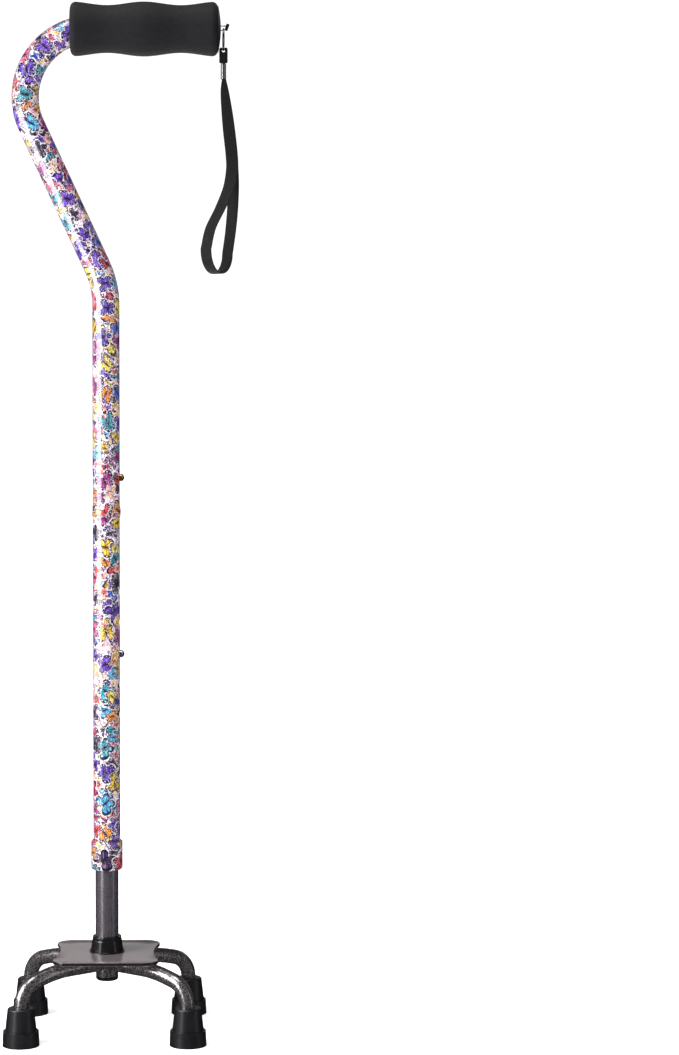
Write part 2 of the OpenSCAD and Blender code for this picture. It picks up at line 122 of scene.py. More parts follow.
class Graph:
    """Adds nodes to a tree, and links a socket or sets a value alike."""

    def __init__(self, tree):
        self.tree = tree

    def put(self, socket, value):
        if isinstance(value, bpy.types.NodeSocket):
            self.tree.links.new(value, socket)
        elif value is not None:
            socket.default_value = value

    def node(self, kind, **settings):
        made = self.tree.nodes.new(kind)
        for name, value in settings.items():
            setattr(made, name, value)
        return made

    def math(self, operation, *values):
        made = self.node("ShaderNodeMath", operation=operation)
        for socket, value in zip(made.inputs, values):
            self.put(socket, value)
        return made.outputs[0]

    def plus(self, a, b):
        return self.math("ADD", a, b)

    def minus(self, a, b):
        return self.math("SUBTRACT", a, b)

    def times(self, a, b):
        return self.math("MULTIPLY", a, b)

    def over(self, a, b):
        return self.math("DIVIDE", a, b)

    def length(self, x, y):
        return self.math("SQRT", self.plus(self.times(x, x), self.times(y, y)))

    def step(self, value, start, end):
        """0 before start, 1 after end, and smooth between them."""
        made = self.node("ShaderNodeMapRange", interpolation_type="SMOOTHSTEP")
        self.put(made.inputs["Value"], value)
        low, high = sorted((start, end))
        made.inputs["From Min"].default_value = low
        made.inputs["From Max"].default_value = high
        made.inputs["To Min"].default_value = 0 if start < end else 1
        made.inputs["To Max"].default_value = 1 if start < end else 0
        return made.outputs["Result"]

    def spread(self, value, low, high):
        """A value from 0 to 1 spread over a range."""
        made = self.node("ShaderNodeMapRange")
        self.put(made.inputs["Value"], value)
        made.inputs["To Min"].default_value = low
        made.inputs["To Max"].default_value = high
        return made.outputs["Result"]

    def mix(self, factor, a, b, blend="MIX"):
        made = self.node("ShaderNodeMix", data_type="RGBA", blend_type=blend)
        self.put(made.inputs["Factor"], factor)
        self.put(made.inputs["A"], a)
        self.put(made.inputs["B"], b)
        return made.outputs["Result"]

    def join(self, x, y, z=0.0):
        made = self.node("ShaderNodeCombineXYZ")
        for socket, value in zip(made.inputs, (x, y, z)):
            self.put(socket, value)
        return made.outputs[0]

    def split(self, vector):
        made = self.node("ShaderNodeSeparateXYZ")
        self.put(made.inputs[0], vector)
        return made.outputs

    def random(self, vector):
        """A random number and a random colour for each value of a vector."""
        made = self.node("ShaderNodeTexWhiteNoise", noise_dimensions="3D")
        self.put(made.inputs["Vector"], vector)
        return made.outputs["Value"], made.outputs["Color"]

    def noise(self, vector, scale, detail=2.0, roughness=0.5):
        made = self.node("ShaderNodeTexNoise")
        self.put(made.inputs["Vector"], vector)
        made.inputs["Scale"].default_value = scale
        made.inputs["Detail"].default_value = detail
        made.inputs["Roughness"].default_value = roughness
        return made.outputs["Fac"]

    def cells(self, vector, scale):
        made = self.node("ShaderNodeTexVoronoi", feature="F1")
        self.put(made.inputs["Vector"], vector)
        made.inputs["Scale"].default_value = scale
        return made.outputs["Distance"]

    def ramp(self, factor, stops, interpolation="LINEAR"):
        made = self.node("ShaderNodeValToRGB")
        made.color_ramp.interpolation = interpolation
        elements = made.color_ramp.elements
        while len(elements) < len(stops):
            elements.new(0.5)
        for element, (place, colour) in zip(elements, stops):
            element.position = place
            element.color = colour
        self.put(made.inputs["Fac"], factor)
        return made.outputs["Color"]

    def curve(self, value, points):
        made = self.node("ShaderNodeFloatCurve")
        curve = made.mapping.curves[0]
        while len(curve.points) < len(points):
            curve.points.new(0.5, 0.5)
        for point, place in zip(curve.points, points):
            point.location = place
        made.mapping.update()
        self.put(made.inputs["Value"], value)
        return made.outputs[0]

    def bump(self, height, distance, strength=1.0):
        made = self.node("ShaderNodeBump")
        made.inputs["Strength"].default_value = strength
        made.inputs["Distance"].default_value = distance
        self.put(made.inputs["Height"], height)
        return made.outputs[0]


def new_material(name, **shader):
    """A material with its Principled shader set, and the graph to add to."""
    material = bpy.data.materials.new(name)
    material.use_nodes = True
    principled = material.node_tree.nodes["Principled BSDF"]
    for socket, value in shader.items():
        principled.inputs[socket.replace("_", " ")].default_value = value
    return material, Graph(material.node_tree), principled.inputs


def position(graph):
    return graph.node("ShaderNodeTexCoord").outputs["Object"]


# ---------------------------------------------------------------- butterfly print

PRINT_COLOURS = [
    "46209a", "6a3cc0", "d8342f", "1f4fc0", "f2b41c", "8a1f6a",
    "2a1440", "e2557c", "3f9ee0", "ee7a1c", "35158a", "a8143a",
    "148296", "1e1428", "f5cc46", "5a2cb0",
]
# Wing outlines: reach of the wing's edge against the direction from tail (0) to head (1)
BROAD_WING = [(0, 0.1), (0.12, 0.34), (0.24, 0.42), (0.36, 0.36), (0.43, 0.27), (0.53, 0.42),
              (0.66, 0.5), (0.79, 0.5), (0.89, 0.3), (1, 0.1)]
POINTED_WING = [(0, 0.1), (0.1, 0.45), (0.2, 0.38), (0.33, 0.34), (0.42, 0.22), (0.54, 0.36),
                (0.7, 0.46), (0.77, 0.53), (0.86, 0.36), (1, 0.1)]


def group_with(name, inputs, outputs):
    tree = bpy.data.node_groups.new(name, "ShaderNodeTree")
    for kind, sockets in (("INPUT", inputs), ("OUTPUT", outputs)):
        for socket_name, socket_type in sockets:
            tree.interface.new_socket(socket_name, in_out=kind, socket_type="NodeSocket" + socket_type)
    graph = Graph(tree)
    return tree, graph, graph.node("NodeGroupInput").outputs, graph.node("NodeGroupOutput").inputs


LAYER_INPUTS = [("Around", "Float"), ("Along", "Float"), ("Columns", "Float"), ("Seed", "Float"),
                ("Presence", "Float")]


def cell_place(graph, inputs, wander):
    """Cuts the tube's skin into square cells, and gives the place inside the cell, turned and
    scaled at random, with the cell's random number and colour."""
    turned = graph.math("FRACT", graph.plus(inputs["Around"], graph.times(inputs["Seed"], 0.379)))
    across = graph.times(turned, inputs["Columns"])
    column = graph.math("FLOOR", across)
    cell = graph.over(2 * math.pi * TUBE_R, inputs["Columns"])
    column_shift, _ = graph.random(graph.join(column, inputs["Seed"], 5.0))
    along = graph.plus(graph.over(inputs["Along"], cell), column_shift)
    row = graph.math("FLOOR", along)
    value, colour = graph.random(graph.join(column, row, inputs["Seed"]))
    red, green, blue = graph.split(colour)
    size = graph.spread(red, 1 - wander, 1)
    room = graph.minus(1, size)
    place = []
    for share, start, number in ((across, column, green), (along, row, blue)):
        local = graph.minus(graph.minus(share, start), 0.5)
        local = graph.plus(local, graph.times(room, graph.minus(number, 0.5)))
        place.append(graph.over(local, size))
    spin = graph.node("ShaderNodeVectorRotate", rotation_type="Z_AXIS")
    graph.put(spin.inputs["Vector"], graph.join(*place))
    graph.put(spin.inputs["Angle"], graph.times(value, 2 * math.pi))
    return spin.outputs[0], value, colour


def butterfly_group():
    tree, graph, inputs, outputs = group_with(
        "butterflies", LAYER_INPUTS, [("Color", "Color"), ("Mask", "Float")])
    place, value, colour = cell_place(graph, inputs, 0.3)
    red, green, blue = graph.split(colour)
    x, y, _ = graph.split(place)
    side = graph.math("ABSOLUTE", x)
    reach = graph.length(x, y)
    angle = graph.math("ARCTAN2", y, side)
    direction = graph.plus(graph.over(angle, math.pi), 0.5)
    pointed = graph.math("GREATER_THAN", green, 0.5)
    broad_edge = graph.curve(direction, BROAD_WING)
    pointed_edge = graph.curve(direction, POINTED_WING)
    edge = graph.plus(broad_edge, graph.times(pointed, graph.minus(pointed_edge, broad_edge)))
    across_wing = graph.over(reach, edge)
    wing = graph.step(across_wing, 1.0, 0.95)
    halo = graph.step(across_wing, 1.14, 1.08)

    wash = graph.noise(graph.join(inputs["Around"], inputs["Along"], value), 140, 3, 0.6)
    main = graph.ramp(blue, [(i / len(PRINT_COLOURS), srgb(c)) for i, c in enumerate(PRINT_COLOURS)],
                      "CONSTANT")
    pale = graph.mix(0.75, main, main, "SCREEN")
    middle = graph.step(graph.plus(across_wing, graph.times(wash, 0.5)), 0.3, 0.7)
    colours = graph.mix(middle, main, pale)
    stain = graph.step(wash, 0.5, 0.68)
    colours = graph.mix(graph.times(stain, 0.5), colours, srgb("fbe9f4"))
    dark = graph.mix(0.93, main, srgb("10061a"))
    shaded = graph.math("MAXIMUM", graph.step(across_wing, 0.5, 0.1), graph.step(wash, 0.45, 0.3))
    colours = graph.mix(graph.times(shaded, 0.55), colours, dark)
    vein = graph.math("ABSOLUTE", graph.math("SINE", graph.times(angle, 7)))
    veins = graph.times(graph.step(vein, 0.34, 0.12), graph.step(across_wing, 0.15, 0.4))
    border = graph.step(graph.plus(across_wing, graph.times(vein, -0.1)), 0.6, 0.72)
    lines = graph.math("MAXIMUM", graph.times(veins, 0.9), border)
    colours = graph.mix(lines, colours, dark)
    beads = graph.math("SINE", graph.times(angle, 17))
    near_edge = graph.math("ABSOLUTE", graph.minus(across_wing, 0.82))
    spots = graph.times(graph.step(beads, 0.35, 0.6), graph.step(near_edge, 0.05, 0.03))
    spotted = graph.math("LESS_THAN", red, 0.6)
    colours = graph.mix(graph.times(spots, spotted), colours, srgb("f7eef6"))
    body = graph.plus(graph.math("POWER", graph.over(side, 0.032), 2),
                      graph.math("POWER", graph.over(y, 0.2), 2))
    body = graph.step(body, 1.1, 0.8)
    feeler = graph.math("ABSOLUTE", graph.minus(direction, 0.9))
    feeler = graph.times(graph.step(feeler, 0.018, 0.008), graph.step(reach, 0.42, 0.38))
    ink = graph.math("MAXIMUM", body, feeler)
    colours = graph.mix(wing, srgb("f4eaf6"), colours)
    colours = graph.mix(ink, colours, srgb("150c18"))
    shape = graph.math("MAXIMUM", graph.math("MAXIMUM", wing, graph.times(halo, 0.8)), ink)
    present = graph.math("LESS_THAN", value, inputs["Presence"])
    graph.put(outputs["Color"], colours)
    graph.put(outputs["Mask"], graph.times(shape, present))
    return tree


def flower_group():
    tree, graph, inputs, outputs = group_with(
        "flowers", LAYER_INPUTS, [("Color", "Color"), ("Mask", "Float")])
    place, value, colour = cell_place(graph, inputs, 0.35)
    _, _, blue = graph.split(colour)
    x, y, _ = graph.split(place)
    reach = graph.length(x, y)
    angle = graph.math("ARCTAN2", y, x)
    petals = graph.math("ABSOLUTE", graph.math("COSINE", graph.times(angle, 2.5)))
    edge = graph.plus(0.26, graph.times(graph.math("POWER", petals, 0.6), 0.2))
    across = graph.over(reach, edge)
    petal = graph.step(across, 1.0, 0.92)
    wash = graph.noise(graph.join(inputs["Around"], inputs["Along"], value), 180, 3, 0.6)
    main = graph.ramp(blue, [(0, srgb("e2503f")), (0.3, srgb("f3c53a")), (0.5, srgb("c42a48")),
                             (0.7, srgb("f08b95")), (0.85, srgb("8a63c8"))], "CONSTANT")
    pale = graph.mix(0.6, main, srgb("fff0e6"))
    colours = graph.mix(graph.step(graph.plus(across, wash), 0.8, 1.4), main, pale)
    folds = graph.step(petals, 0.35, 0.1)
    colours = graph.mix(graph.times(folds, 0.55), colours, srgb("5a1430"))
    heart = graph.step(reach, 0.1, 0.07)
    colours = graph.mix(heart, colours, srgb("3a1420"))
    colours = graph.mix(graph.step(reach, 0.05, 0.035), colours, srgb("f7d25a"))
    present = graph.math("LESS_THAN", value, inputs["Presence"])
    graph.put(outputs["Color"], colours)
    graph.put(outputs["Mask"], graph.times(graph.times(petal, 0.92), present))
    return tree


# Layers of the print from the bottom up: motif, motifs around the tube, seed, share of cells used
PRINT_LAYERS = [
    ("butterflies", 4, 1, 0.95), ("flowers", 4, 2, 0.6), ("butterflies", 3, 3, 0.8),
    ("butterflies", 4, 4, 0.8), ("flowers", 5, 5, 0.3), ("butterflies", 3, 6, 0.7),
    ("butterflies", 4, 8, 0.5), ("butterflies", 3, 9, 0.45),
]


def print_material(name, swept):
    """Pearly print under a clear coat. A swept tube carries turns and metres as its UV; a
    straight one takes them from its place around the shaft."""
    material, graph, shader = new_material(
        name, Metallic=0.1, Coat_Weight=0.9, Coat_Roughness=0.12, Coat_IOR=1.45)
    if swept:
        uv = graph.node("ShaderNodeUVMap", uv_map="turns_and_metres").outputs[0]
        around, along, _ = graph.split(uv)
    else:
        x, y, along = graph.split(position(graph))
        centred = graph.minus(x, SHAFT_X)
        around = graph.plus(graph.over(graph.math("ARCTAN2", y, centred), 2 * math.pi), 0.5)
    where = position(graph)
    ground = graph.ramp(graph.noise(where, 70, 3, 0.6), [
        (0.3, srgb("d890b8")), (0.41, srgb("f3e9f2")), (0.48, srgb("cdb2dc")),
        (0.55, srgb("f0d48a")), (0.62, srgb("e8a8a0")), (0.72, srgb("9ab4e4"))])
    colour = ground
    for motif, columns, seed, presence in PRINT_LAYERS:
        layer = graph.node("ShaderNodeGroup", node_tree=bpy.data.node_groups[motif])
        graph.put(layer.inputs["Around"], around)
        graph.put(layer.inputs["Along"], along)
        layer.inputs["Columns"].default_value = columns
        layer.inputs["Seed"].default_value = seed
        layer.inputs["Presence"].default_value = presence
        colour = graph.mix(layer.outputs["Mask"], colour, layer.outputs["Color"])
    blotches = graph.noise(where, 320, 3, 0.7)
    colour = graph.mix(graph.step(blotches, 0.58, 0.8), colour, srgb("fdf4fa"))
    for scale, ink in ((210, "2a0f3c"), (330, "10122e")):
        contour = graph.math("ABSOLUTE", graph.minus(graph.noise(where, scale, 2, 0.5), 0.5))
        colour = graph.mix(graph.times(graph.step(contour, 0.03, 0.01), 0.85), colour, srgb(ink))
    graph.put(shader["Base Color"], colour)
    grain = graph.noise(where, 900, 2, 0.5)
    graph.put(shader["Roughness"], graph.spread(grain, 0.22, 0.4))
    graph.put(shader["Normal"], graph.bump(graph.noise(where, 90, 2), 0.00012))
    return material


butterfly_group()
flower_group()


# ---------------------------------------------------------------- plain materials

def speckled(name, colour, spread, bump_scale, bump_depth, **shader):
    """A plain surface with fine grain in its colour, roughness and relief."""
    material, graph, inputs = new_material(name, **shader)
    where = position(graph)
    coarse = graph.noise(where, bump_scale / 8, 3, 0.6)
    fine = graph.noise(where, bump_scale, 3, 0.6)
    graph.put(inputs["Base Color"], graph.ramp(
        graph.plus(graph.times(coarse, 0.6), graph.times(fine, 0.4)),
        [(0.35, srgb(colour)), (0.65, srgb(spread))]))
    rough = shader.get("Roughness", 0.5)
    graph.put(inputs["Roughness"], graph.spread(fine, rough - 0.08, rough + 0.08))
    graph.put(inputs["Normal"], graph.bump(fine, bump_depth))
    return material


def foam_material():
    """Closed-cell foam: small pits between soft swellings."""
    material, graph, inputs = new_material("grip_foam", Sheen_Weight=0.06, Sheen_Roughness=0.5,
                                           Specular_IOR_Level=0.25)
    where = position(graph)
    pits = graph.cells(where, 1500)
    swell = graph.noise(where, 260, 3, 0.6)
    graph.put(inputs["Base Color"], graph.ramp(swell, [(0.3, srgb("0f0e11")), (0.7, srgb("161317"))]))
    height = graph.plus(graph.step(pits, 0.15, 0.5), graph.times(swell, 0.6))
    graph.put(inputs["Roughness"], graph.spread(pits, 0.85, 0.62))
    graph.put(inputs["Normal"], graph.bump(height, 0.00012, 0.7))
    return material


def webbing_material():
    """A narrow twill web: slanting ribs across the width with a plain selvedge."""
    material, graph, inputs = new_material("webbing", Roughness=0.8, Sheen_Weight=0.08,
                                           Sheen_Roughness=0.45, Specular_IOR_Level=0.25)
    uv = graph.node("ShaderNodeUVMap", uv_map="weave").outputs[0]
    across, along, _ = graph.split(uv)
    slant = graph.plus(along, graph.math("ABSOLUTE", graph.times(across, 0.6)))
    rib = graph.math("SINE", graph.times(slant, 2 * math.pi / 0.0012))
    yarn = graph.math("SINE", graph.times(across, 2 * math.pi / 0.0007))
    height = graph.plus(graph.times(rib, 0.5), graph.times(yarn, 0.3))
    # Painted shade: the colour follows the weave's relief, darker in the grooves between ribs and lighter
    # on the ribs
    graph.put(inputs["Base Color"], graph.ramp(
        graph.spread(height, 0.5, 0.75), [(0.2, srgb("060506")), (0.8, srgb("181618"))]))
    fuzz = graph.noise(position(graph), 2500, 2)
    graph.put(inputs["Normal"], graph.bump(graph.plus(height, graph.times(fuzz, 0.5)), 0.00012, 0.8))
    return material


def hammered_material():
    """Gunmetal hammer paint: glossy and finely dimpled, with paler flecks."""
    material, graph, inputs = new_material("hammer_paint", Metallic=0.9, Coat_Weight=0.8,
                                           Coat_Roughness=0.12)
    where = position(graph)
    dimples = graph.noise(where, 620, 2, 0.5)
    flecks = graph.noise(where, 1300, 3, 0.7)
    graph.put(inputs["Base Color"], graph.ramp(
        graph.plus(graph.times(dimples, 0.5), graph.times(flecks, 0.5)),
        [(0.38, srgb("4c474b")), (0.5, srgb("7d787b")), (0.62, srgb("bdb8ba"))]))
    graph.put(inputs["Roughness"], graph.spread(flecks, 0.2, 0.36))
    graph.put(inputs["Normal"], graph.bump(dimples, 0.00016, 0.9))
    return material


def brushed(name, colour, lines_axis, **shader):
    """Drawn or turned metal with fine lines along one axis."""
    material, graph, inputs = new_material(name, Metallic=1.0, **shader)
    x, y, z = graph.split(position(graph))
    stretch = {"z": (1, 1, 0.03), "x": (0.03, 1, 1)}[lines_axis]
    lines = graph.noise(graph.join(*(graph.times(v, s) for v, s in zip((x, y, z), stretch))),
                        2600, 3, 0.6)
    wear = graph.noise(position(graph), 60, 4, 0.6)
    graph.put(inputs["Base Color"], graph.mix(graph.spread(wear, 0, 0.5), srgb(colour), srgb("9c8f88")))
    rough = shader.get("Roughness", 0.3)
    graph.put(inputs["Roughness"], graph.spread(lines, rough - 0.07, rough + 0.12))
    graph.put(inputs["Normal"], graph.bump(lines, 0.00003, 0.5))
    return material


def gunmetal_material():
    """The shaft's dark satin paint over drawn tube."""
    material, graph, inputs = new_material("gunmetal", Metallic=0.85, Coat_Weight=0.5,
                                           Coat_Roughness=0.12)
    x, y, z = graph.split(position(graph))
    drawn = graph.noise(graph.join(x, y, graph.times(z, 0.04)), 1500, 3, 0.6)
    cloud = graph.noise(position(graph), 110, 3, 0.6)
    graph.put(inputs["Base Color"], graph.ramp(cloud, [(0.3, srgb("7c7a86")), (0.7, srgb("8c8388"))]))
    graph.put(inputs["Roughness"], graph.spread(drawn, 0.2, 0.34))
    graph.put(inputs["Normal"], graph.bump(drawn, 0.00003, 0.4))
    return material


def plate_material():
    """Satin brown-grey paint on pressed steel, with painted shade that makes the plate's upright edge
    almost black.
    """
    material, graph, inputs = new_material("plate_paint", Metallic=0.3, Coat_Weight=0.8,
                                           Coat_Roughness=0.08)
    where = position(graph)
    cloud = graph.noise(where, 45, 4, 0.6)
    peel = graph.noise(where, 700, 2, 0.5)
    # Painted shade: faces that are not level get near-black instead of the paint's own colour
    _, _, level = graph.split(graph.node("ShaderNodeNewGeometry").outputs["True Normal"])
    level = graph.step(graph.math("ABSOLUTE", level), 0.5, 0.9)
    face = graph.ramp(cloud, [(0.3, srgb("84787b")), (0.7, srgb("938789"))])
    graph.put(inputs["Base Color"], graph.mix(level, srgb("1a1518"), face))
    graph.put(inputs["Roughness"], graph.spread(peel, 0.24, 0.38))
    graph.put(inputs["Normal"], graph.bump(peel, 0.00002, 0.5))
    return material


MATERIALS = {
    "print_swept": print_material("print_swept", True),
    "print_straight": print_material("print_straight", False),
    "foam": foam_material(),
    "webbing": webbing_material(),
    "hammer": hammered_material(),
    "gunmetal": gunmetal_material(),
    "plate": plate_material(),
    "rubber": speckled("foot_rubber", "0e0d11", "17151a", 900, 0.00003, Roughness=0.36,
                       Specular_IOR_Level=0.55),
    "cap": speckled("cap_rubber", "131214", "1b1a1d", 900, 0.00004, Roughness=0.42),
    "black_plastic": speckled("black_plastic", "0c0b0e", "141317", 1200, 0.00002, Roughness=0.24),
    "white_plastic": speckled("white_plastic", "e4e2dc", "efeee9", 700, 0.00002, Roughness=0.4,
                              Subsurface_Weight=0.2, Subsurface_Scale=0.002),
    "wire": brushed("wire", "d0d0d4", "x", Roughness=0.18),
    "ferrule": brushed("ferrule_steel", "bdbdc2", "z", Roughness=0.28),
    "brass": brushed("button_brass", "c89a45", "x", Roughness=0.24),
    "steel": brushed("button_steel", "d2d2d6", "x", Roughness=0.2),
    "spring": brushed("spring_steel", "8e8f94", "z", Roughness=0.32),
    "bare": brushed("bare_aluminium", "b4b5ba", "z", Roughness=0.34),
    "elastic": speckled("elastic", "0e0d0f", "1a181b", 1500, 0.0001, Roughness=0.85),
}

NODE_MATERIALS = {
    "grip_end_cap": "cap", "strap_eye": "wire", "eye_bead": "black_plastic",
    "strap_link": "black_plastic", "strap_ferrule": "ferrule", "cord_anchor_upper": "black_plastic",
    "cord_anchor_lower": "black_plastic", "joint_connector": "bare", "connector_bush": "white_plastic",
    "upper_snap_button": "brass", "lower_tube": "print_straight", "lower_snap_button": "steel",
    "lock_collar": "print_straight", "collar_collet": "white_plastic", "lower_shaft": "gunmetal",
    "shaft_bush": "white_plastic", "shaft_pin": "spring", "base_hub": "hammer",
    "hub_plug": "black_plastic", "foot_washers": "spring",
}
for corner in ("front_right", "front_left", "rear_left", "rear_right"):
    NODE_MATERIALS["foot_" + corner] = "rubber"


def dress(obj, material):
    """Puts a material in every slot of an object, which gets one slot if it has none."""
    if not obj.material_slots:
        obj.data.materials.append(MATERIALS[material])
    for slot in obj.material_slots:
        slot.material = MATERIALS[material]


for node_name, material_name in NODE_MATERIALS.items():
    dress(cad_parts[node_name], material_name)


# ---------------------------------------------------------------- mesh helpers

def add_piece(name, vertices, faces, uvs=None, uv_name="turns_and_metres", sharp=40):
    """A mesh object from vertices and faces; uvs holds one list of (u, v) for each face."""
    mesh = bpy.data.meshes.new(name)
    mesh.from_pydata(vertices, [], faces)
    if uvs:
        layer = mesh.uv_layers.new(name=uv_name)
        flat = [place for face in uvs for place in face]
        for loop, place in zip(layer.data, flat):
            loop.uv = place
    mesh.shade_smooth()
    mesh.set_sharp_from_angle(angle=math.radians(sharp))
    mesh.validate()
    obj = bpy.data.objects.new(name, mesh)
    bpy.context.scene.collection.objects.link(obj)
    return obj


def turns(count):
    """Angles spaced evenly round a full turn."""
    return [2 * math.pi * k / count for k in range(count)]


def ease(t):
    """0 below 0, 1 above 1, and smooth between them."""
    t = min(1, max(0, t))
    return t * t * (3 - 2 * t)


def band(first, second, count):
    """Quads between two rings of vertices, given by their places in the list of rings."""
    return [(first * count + k, first * count + (k + 1) % count,
             second * count + (k + 1) % count, second * count + k) for k in range(count)]


def skin(name, rings, along, sharp=40):
    """Quads between rings of the same number of points, with the last ring joined to the first,
    as on a tube with inner and outer walls. along gives each ring's v."""
    count = len(rings[0])
    vertices = [point for ring in rings for point in ring]
    faces, uvs = [], []
    for i in range(len(rings)):
        j = (i + 1) % len(rings)
        faces += band(i, j, count)
        for k in range(count):
            left, right = k / count, (k + 1) / count
            uvs.append([(left, along[i]), (right, along[i]), (right, along[j]), (left, along[j])])
    return add_piece(name, vertices, faces, uvs, sharp=sharp)


def capped(name, rings, uvs=None, uv_name="turns_and_metres", sharp=40):
    """Quads between open rings, with a flat face at each end. uvs leaves out the two ends."""
    count = len(rings[0])
    vertices = [point for ring in rings for point in ring]
    faces = []
    for i in range(len(rings) - 1):
        faces += band(i, i + 1, count)
    faces.append(tuple(range(count))[::-1])
    faces.append(tuple((len(rings) - 1) * count + k for k in range(count)))
    if uvs:
        uvs = uvs + [[(0, 0)] * count] * 2
    return add_piece(name, vertices, faces, uvs, uv_name, sharp)


def bent_path(steps, gap):
    """(x, z, heading, distance) along steps of (straight, bend radius, bend angle). The path
    starts at the origin along +X, and a positive angle turns it downwards."""
    x = z = turn = run = 0.0
    path = [(x, z, turn, run)]
    for straight, radius, angle in steps:
        pieces = max(1, round(straight / gap))
        for _ in range(pieces):
            x += straight / pieces * math.cos(turn)
            z -= straight / pieces * math.sin(turn)
            run += straight / pieces
            path.append((x, z, turn, run))
        bends = math.ceil(abs(angle) / math.radians(2.5))
        for _ in range(bends):
            part = angle / bends
            chord = 2 * radius * math.sin(abs(part) / 2)
            x += chord * math.cos(turn + part / 2)
            z -= chord * math.sin(turn + part / 2)
            turn += part
            run += radius * abs(part)
            path.append((x, z, turn, run))
    return path


def ring_at(path_point, radius, place, count=ROUND):
    """A ring of points around a path point; place turns (forward, sideways, up) into the frame."""
    x, z, turn, _ = path_point
    ring = []
    for a in turns(count):
        up = radius * math.cos(a)
        ring.append(place(x + up * math.sin(turn), radius * math.sin(a), z + up * math.cos(turn)))
    return ring


# ---------------------------------------------------------------- handle tube

HANDLE_BEND_R = 55 * MM
NECK_BEND_R = 75 * MM
NECK_ANGLE = math.radians(25)
HANDLE_OFFSET = 65.4 * MM
WALL = 1.4 * MM
FLARE = 0.8 * MM
FLARE_H = 7 * MM


def handle_steps():
    bend_x = HANDLE_BEND_R - HANDLE_OFFSET
    reach = GRIP_FRONT - SHAFT_X
    slant = (HANDLE_BEND_R * math.cos(NECK_ANGLE) - bend_x) / math.sin(NECK_ANGLE)
    corner_z = GRIP_Z - HANDLE_BEND_R * (1 + math.sin(NECK_ANGLE)) - slant * math.cos(NECK_ANGLE)
    tangent = NECK_BEND_R * math.tan(NECK_ANGLE / 2)
    return [
        (reach - bend_x, HANDLE_BEND_R, math.pi / 2 + NECK_ANGLE),
        (slant - tangent, NECK_BEND_R, -NECK_ANGLE),
        (corner_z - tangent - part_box("handle_tube")[0].z, 0, 0),
    ]


def from_grip_end(x, y, z):
    return Vector((GRIP_FRONT - x, y, GRIP_Z + z))


def cut_front_hole(obj, z, radius):
    """Bores a hole along X through the front wall of a piece that stands on the shaft's axis."""
    ends = (SHAFT_X, SHAFT_X + 2 * TUBE_R)
    circles = [[Vector((x, radius * math.cos(a), z + radius * math.sin(a))) for a in turns(40)]
               for x in ends]
    cutter = capped("cutter", circles)
    modifier = obj.modifiers.new("hole", "BOOLEAN")
    modifier.object = cutter
    modifier.operation = "DIFFERENCE"
    modifier.solver = "EXACT"
    bpy.context.view_layer.update()
    cut = bpy.data.meshes.new_from_object(obj.evaluated_get(bpy.context.evaluated_depsgraph_get()))
    obj.modifiers.clear()
    obj.data = cut
    bpy.data.objects.remove(cutter)


HANDLE_PATH = bent_path(handle_steps(), 3 * MM)


def handle_tube():
    total = HANDLE_PATH[-1][3]
    outer, inner, along = [], [], []
    for point in HANDLE_PATH:
        from_end = total - point[3]
        radius = TUBE_R + FLARE * ease((FLARE_H + 1 * MM - from_end) / (1.5 * MM))
        if from_end < 0.1 * MM:
            radius -= 0.3 * MM
        outer.append(ring_at(point, radius, from_grip_end))
        inner.append(ring_at(point, TUBE_R - WALL, from_grip_end))
        along.append(point[3])
    rings = outer + inner[::-1]
    tube = skin("handle_tube_print", rings, along + along[::-1])
    button_low, button_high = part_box("upper_snap_button")
    # The button's flange is its widest part; its stem is 0.9 mm smaller all round
    stem_r = (button_high.z - button_low.z) / 2 - 0.9 * MM
    cut_front_hole(tube, (button_low.z + button_high.z) / 2, stem_r + 0.3 * MM)
    dress(tube, "print_swept")
    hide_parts("handle_tube")
    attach(tube, "handle_section")


handle_tube()


# ---------------------------------------------------------------- grip

def grip():
    """Foam sleeve with two finger dips, cut out where the tube passes."""
    length = GRIP_FRONT - GRIP_REAR
    dip_r = 19.2 * MM
    mean, wave = (GRIP_R + dip_r) / 2, (GRIP_R - dip_r) / 2
    soft = 5 * MM
    around = 96
    shape = random.Random(3)
    bumps = [(shape.uniform(0, 6.28), shape.uniform(2, 9), shape.randint(1, 4)) for _ in range(6)]
    outer = []
    steps = 90
    for i in range(steps + 1):
        # Stations are closer together at the rounded ends
        t = 0.5 - 0.5 * math.cos(math.pi * i / steps)
        s = t * length
        radius = mean + wave * math.cos(4 * math.pi * t)
        edge = min(s, length - s)
        if edge < soft:
            radius -= soft - math.sqrt(max(0, soft ** 2 - (soft - edge) ** 2))
        ring = []
        for a in turns(around):
            uneven = sum(math.sin(p + q * t + n * a) for p, q, n in bumps) * 0.02 * MM
            r = radius + uneven * min(1, edge / soft) - 0.05 * MM
            ring.append(Vector((GRIP_FRONT - s, r * math.sin(a), GRIP_Z + r * math.cos(a))))
        outer.append(ring)
    inner = []
    bore = TUBE_R + 0.1 * MM
    for point in HANDLE_PATH:
        if GRIP_FRONT - point[0] < GRIP_REAR + 0.5 * MM:
            break
        inner.append(ring_at(point, bore, from_grip_end, around))
        last = point
    heading = Vector((-math.cos(last[2]), 0, -math.sin(last[2])))
    rear = [p + heading * ((GRIP_REAR - p.x) / heading.x) for p in inner[-1]]
    inner[-1] = rear
    for p in inner[0]:
        p.x = GRIP_FRONT
    rings = outer + inner[::-1]
    along = [abs(ring[0].x) for ring in rings]
    sleeve = skin("grip_foam_sleeve", rings, along, sharp=50)
    dress(sleeve, "foam")
    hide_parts("grip")
    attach(sleeve, "handle_section")


grip()


# ---------------------------------------------------------------- wrist strap

